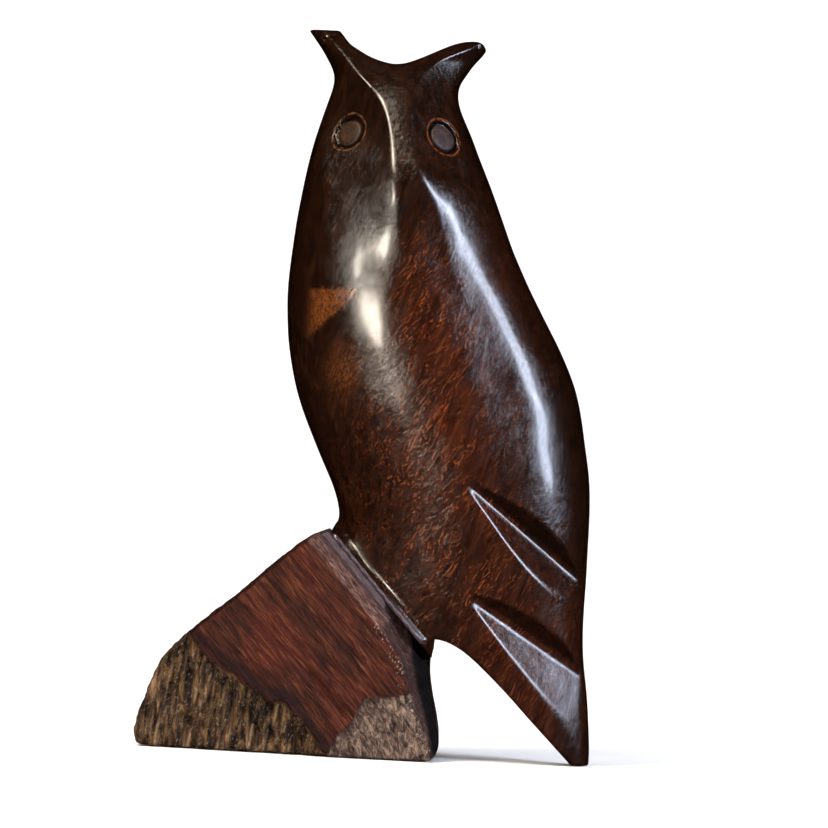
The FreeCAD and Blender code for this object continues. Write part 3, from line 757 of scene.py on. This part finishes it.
def perch_field(p):
    """The perch: negative inside, about in millimetres near its surface."""
    x, y, z = p.T
    along, across = rasp_place(p)
    rasp = layered(np.stack([along / 9, across / 1.5, y / 6], axis=1), 31, 3)
    deep = np.maximum(noise(np.stack([along / 16, across / 2.6, y / 9], axis=1), 35) - 0.35, 0)
    split, grey = split_amount(p), grey_amount(p)
    fibre = layered(np.stack([x / 1.6, y / 3, z / 11], axis=1), 41, 4)
    pits = np.maximum(layered(p / 2.2, 47, 2) - 0.4, 0)
    bent = x / 1.5 + 0.5 * noise(p / 6, 43)
    gaps = np.maximum(noise(np.stack([bent, y / 5, z / 14], axis=1), 44) - 0.35, 0)
    sawn_relief = 0.22 * rasp + 1.1 * deep
    fall = 0.22 * np.maximum(SAWN_EDGE(x) - z, 0)
    split_relief = 1.4 + fall * 0.8 + 0.75 * fibre + 0.9 * pits + 0.9 * gaps
    grey_relief = 0.55 + 0.25 * fibre + 0.15 * rasp
    relief = sawn_relief * (1 - split) + split_relief * split
    relief = relief * (1 - grey) + grey_relief * grey
    front = -y - HALF_DEPTH + relief
    back = y - HALF_DEPTH + 0.16 * rasp + 0.5 * deep
    f = smooth_max(front, back, 0.6)
    left = (PERCH_LEFT(z) - x) * 0.72 + 0.25 * noise(p / 2.5, 51) + 0.15 * noise(p / 0.9, 52)
    f = smooth_max(f, left, 1.3)
    f = smooth_max(f, (z - CREST_LINE(x)) * 0.9 + 0.1 * noise(p / 3, 53), 1.0)
    f = smooth_max(f, x - PERCH_RIGHT(z) + 0.1 * noise(p / 4, 54), 1.6)
    heel = heel_flat(p) + 0.12 * noise(p / 1.5, 55)
    f = smooth_max(f, heel, 0.5)
    t = seat_place(p)[1]
    bevel = (t + np.abs(y) - HALF_DEPTH + BEVEL) / math.sqrt(2) + 0.12 * rasp + 0.16 * noise(p / 0.9, 56)
    f = smooth_max(f, smooth_min(bevel, np.abs(y) - RIM, 0.2), 0.4)
    groove = 0.6 - np.hypot(t + 1.95, np.abs(y) - RIM - 0.1)
    f = smooth_max(f, groove, 0.25)
    f = smooth_max(f, t, 0.15)
    return smooth_max(f, -z + 0.05, 0.9)


HEEL_LINE = Curve((-1, 14.6), (3.8, 12.9), (8.9, 10.6), (14.5, 8.6), (21, 6.5), (24.4, 4.2), (30, 1.5))


HEEL_SHADE = Curve((0, 14.6), (7.7, 12.9), (12.8, 11.3), (18.8, 9.7), (23.2, 9.0), (30, 8.5))


def heel_flat(p):
    """The side of the heel, turned away from the front edge."""
    x, y, z = p.T
    return (x - HEEL_LINE(z)) * 0.79 - (y + HALF_DEPTH) * 0.61


def make_perch():
    axes = [np.arange(a, b, STEP_PERCH) for a, b in ((-49, 18), (-20, 20), (-1, 49))]
    points, quads, facing = net(perch_field, axes)
    split, grey = split_amount(points), grey_amount(points)
    # Painted shade and sheen: the right-facing side of the heel.
    heel = smooth_step(heel_flat(points), -0.5, 0.0) * smooth_step(facing[:, 0], 0.3, 0.6)
    up = smooth_step(facing[:, 2], 0.35, 0.65) * (1 - split)
    left = smooth_step(-facing[:, 0], 0.4, 0.7) * (1 - split)
    t = seat_place(points)[1]
    # Painted shade: near black on the far end of the heel, on up-facing faces off the seat and on left-facing
    # faces.
    far_heel_shade = heel * smooth_step(points[:, 0] - HEEL_SHADE(points[:, 2]), -0.4, 0.5)
    shade = np.clip(far_heel_shade + 0.3 * up * (t < -2.2) + 0.3 * left, 0, 1)
    rim = smooth_step(t, -2.1, -1.7)
    bevel = smooth_step(t, -4.6, -4.0) * (1 - rim)
    # Painted shadow along the step where the sawn face drops to the split wood.
    edge = 1 - smooth_step(np.abs(SAWN_EDGE(points[:, 0]) - points[:, 2] + 1.4), 0.8, 2.6)
    # Front edge of the heel: partly chipped wood, partly a painted glint.
    near_edge = 1 - smooth_step(np.abs(heel_flat(points) + 0.5), 0.4, 1.3)
    edge_chip_glints = near_edge * smooth_step(-points[:, 1], 15.5, 17) * (1 - shade)
    masks = {"weathered": split, "grey": grey, "shade": shade, "rim": rim, "heel": heel, "bevel": bevel,
             "edge_chip_glints": edge_chip_glints, "step_shadow": edge * (1 - split) * (1 - grey)}
    piece = make_piece("perch_base_visual", points, quads, facing, rasped_wood(), masks)
    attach(piece, "root")
    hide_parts("perch_base")


def closed_faces(rings, count):
    """Faces between rings of points, with a fan on the first one's middle and on the last one's."""
    bottom, top = rings * count, rings * count + 1
    faces = []
    for i in range(count):
        j = (i + 1) % count
        for start in range(0, (rings - 1) * count, count):
            faces.append((start + i, start + j, start + count + j, start + count + i))
        last = (rings - 1) * count
        faces += [(last + i, last + j, top), (j, i, bottom)]
    return faces


def eye_mesh(side):
    """A hand-cut plug: a slightly wobbly disc with a soft dome, its stem in the cheek."""
    centre, facing = EYES[side]
    right = unit(np.cross([0, 0, 1.0], facing))
    up = np.cross(facing, right)
    # Each ring: its height over the cheek and its radius.
    rings = [(-4.6, 2.5), (-4.2, 2.85), (-1.5, 2.9), (-0.7, 2.92), (-0.35, 2.9), (-0.16, 2.78), (-0.04, 2.5),
             (0.03, 2.0), (0.06, 1.4), (0.08, 0.7)]
    count = 96
    turn = np.arange(count) * 2 * math.pi / count
    points = []
    for depth, radius in rings:
        r = radius + eye_wobble(turn, side) * (0.0 if depth < -2 else 0.5)
        points.append(centre + np.outer(np.full(count, depth), facing) + np.outer(r * np.cos(turn), right)
                      + np.outer(r * np.sin(turn), up))
    points.append((centre - facing * 4.7)[None, :])
    points.append((centre + facing * 0.09)[None, :])
    return np.concatenate(points), closed_faces(len(rings), count)


def simple_piece(name, points, faces, material, slot, *nodes):
    mesh = bpy.data.meshes.new(name)
    mesh.from_pydata((points * MM).tolist(), [], [tuple(f) for f in faces])
    mesh.shade_smooth()
    mesh.materials.append(material)
    piece = bpy.data.objects.new(name, mesh)
    bpy.context.scene.collection.objects.link(piece)
    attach(piece, "root")
    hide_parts(*nodes)


def make_eyes():
    woods = {-1: eye_wood("brown_eye_wood", "0c0603", "3a2414"),
             1: eye_wood("grey_eye_wood", "1a1213", "3c2f2d")}
    for word, side in (("left", -1), ("right", 1)):
        points, faces = eye_mesh(side)
        plug, slot = f"{word}_eye_plug", f"{word}_eye_wood"
        simple_piece(f"{plug}_visual", points, faces, woods[side], slot, plug)


PIN_HALF_LENGTH = 8.95
# Each ring of a pin: its distance from the nearer end and its radius.
PIN_END = ((0, 1.75), (0.35, 2.2), (0.75, 2.47))


def make_dowel(name, material):
    """A fluted pin with eased ends."""
    low, high = (np.array(c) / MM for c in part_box(name))
    middle = (low + high) / 2
    s_axis, out = seat_axes()
    side = np.cross(out, s_axis)
    count, half = 60, PIN_HALF_LENGTH
    turn = np.arange(count) * 2 * math.pi / count
    flute = 1 - 0.035 * (np.cos(12 * turn) > 0.3)
    rings = [(inset - half, r) for inset, r in PIN_END]
    rings += [(-d, r) for d, r in reversed(rings)]
    circle = np.outer(flute * np.cos(turn), s_axis) + np.outer(flute * np.sin(turn), side)
    points = [middle + out * d + r * circle for d, r in rings]
    points = np.concatenate([*points, (middle - out * half)[None, :], (middle + out * half)[None, :]])
    simple_piece(f"{name}_visual", points, closed_faces(len(rings), count), material, "dowel_wood", name)


def seat_axes():
    down = unit(SEAT_FOOT - SEAT_TOP)
    out = np.array([-down[1], down[0]])
    out = out if out[0] > 0 else -out
    return np.array([down[0], 0, down[1]]), np.array([out[0], 0, out[1]])


make_owl()
make_perch()
make_eyes()
pin_wood = dowel_wood()
for pin in ("upper_perch_dowel", "lower_perch_dowel"):
    make_dowel(pin, pin_wood)

# ---------------------------------------------------------------- floor, lights and camera

low, high = (np.array(c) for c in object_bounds())
middle = (low + high) / 2


def one_sided(tree, shader):
    """Clear from its lower side, so that the sheet never hides the object from behind or below."""
    clear = tree.nodes.new("ShaderNodeBsdfTransparent")
    side = tree.nodes.new("ShaderNodeNewGeometry")
    choice = tree.nodes.new("ShaderNodeMixShader")
    tree.links.new(side.outputs["Backfacing"], choice.inputs["Fac"])
    tree.links.new(shader.outputs["BSDF"], choice.inputs[1])
    tree.links.new(clear.outputs["BSDF"], choice.inputs[2])
    tree.links.new(choice.outputs["Shader"], tree.nodes["Material Output"].inputs["Surface"])


def make_floor():
    """A pale sheet that lies under the object and curves up far behind it."""
    depth, rise, radius, steps = 0.9, 1.6, 0.5, 16
    line = [(-2.5, 0.0), (depth - radius, 0.0)]
    for i in range(1, steps + 1):
        turn = math.pi / 2 * i / steps
        line.append((depth - radius + radius * math.sin(turn), radius * (1 - math.cos(turn))))
    line.append((depth, rise))
    points = [(x, y, z - 0.0002) for y, z in line for x in (-2.0, 2.0)]
    faces = [(2 * i, 2 * i + 1, 2 * i + 3, 2 * i + 2) for i in range(len(line) - 1)]
    mesh = bpy.data.meshes.new("studio_floor")
    mesh.from_pydata(points, [], faces)
    mesh.shade_smooth()
    floor = bpy.data.objects.new("studio_floor", mesh)
    bpy.context.scene.collection.objects.link(floor)
    material = bpy.data.materials.new("pale_paper")
    material.use_nodes = True
    shader = material.node_tree.nodes["Principled BSDF"]
    shader.inputs["Base Color"].default_value = (0.9, 0.9, 0.9, 1)
    shader.inputs["Roughness"].default_value = 0.9
    one_sided(material.node_tree, shader)
    mesh.materials.append(material)
    floor.visible_glossy = False
    floor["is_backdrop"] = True


def aimed(azimuth, elevation, distance, target):
    """A place round the target. Azimuth 0 is in front, at -Y, and grows towards +X."""
    a, e = math.radians(azimuth), math.radians(elevation)
    way = Vector((math.sin(a) * math.cos(e), -math.cos(a) * math.cos(e), math.sin(e)))
    place = target + way * distance
    return place, (target - place).to_track_quat("-Z", "Y").to_euler()


def make_light(name, azimuth, elevation, distance, size, watts, colour, target):
    data = bpy.data.lights.new(name, "AREA")
    data.shape = "RECTANGLE"
    data.size, data.size_y = size
    data.energy, data.color = watts, colour
    light = bpy.data.objects.new(name, data)
    light.location, light.rotation_euler = aimed(azimuth, elevation, distance, target)
    light.visible_camera = False
    bpy.context.scene.collection.objects.link(light)
    return light


make_floor()
focus = Vector(middle)
make_light("warm_lamp_low", -31, 0, 0.9, (0.12, 0.14), 2.8, (1.0, 0.90, 0.76), focus)
make_light("warm_lamp_high", -38, 12, 0.9, (0.07, 0.12), 1.1, (1.0, 0.92, 0.80), focus)
make_light("forehead_lamp", -41, 50, 0.9, (0.20, 0.50), 9.5, (1.0, 0.86, 0.70), focus)
make_light("cool_window_high", 56, 20, 1.1, (0.32, 0.42), 9.0, (0.72, 0.81, 1.0), focus)
make_light("cool_window_low", 62, 5, 1.1, (0.26, 0.26), 4.6, (0.70, 0.79, 1.0), focus)
for soft in (make_light("soft_sky", 10, 82, 1.4, (1.6, 1.6), 15, (1.0, 0.99, 0.98), focus),
             make_light("front_fill", -6, 40, 1.6, (0.8, 0.5), 2, (1.0, 0.97, 0.94), focus)):
    soft.visible_glossy = False

world = bpy.context.scene.world or bpy.data.worlds.new("studio")
bpy.context.scene.world = world
world.use_nodes = True
world.node_tree.nodes["Background"].inputs["Color"].default_value = (0.93, 0.95, 1, 1)
world.node_tree.nodes["Background"].inputs["Strength"].default_value = 0.15
world.cycles_visibility.glossy = False
bpy.context.scene.view_settings.view_transform = "Standard"

# A long lens from far off, level with the object, and turned a little about its own axis.
CAMERA_LENS, CAMERA_DISTANCE, CAMERA_ELEVATION, CAMERA_ROLL = 300, 1.4335, 0.4, 3
CAMERA_SHIFT = (0.0072, 0, -0.0039)
camera_data = bpy.data.cameras.new("camera")
camera_data.sensor_width = 36
camera_data.lens = CAMERA_LENS
camera = bpy.data.objects.new("camera", camera_data)
bpy.context.scene.collection.objects.link(camera)
target = focus + Vector(CAMERA_SHIFT)
camera.location, camera.rotation_euler = aimed(0, CAMERA_ELEVATION, CAMERA_DISTANCE, target)
camera.rotation_euler.rotate_axis("Z", math.radians(CAMERA_ROLL))
bpy.context.scene.camera = camera
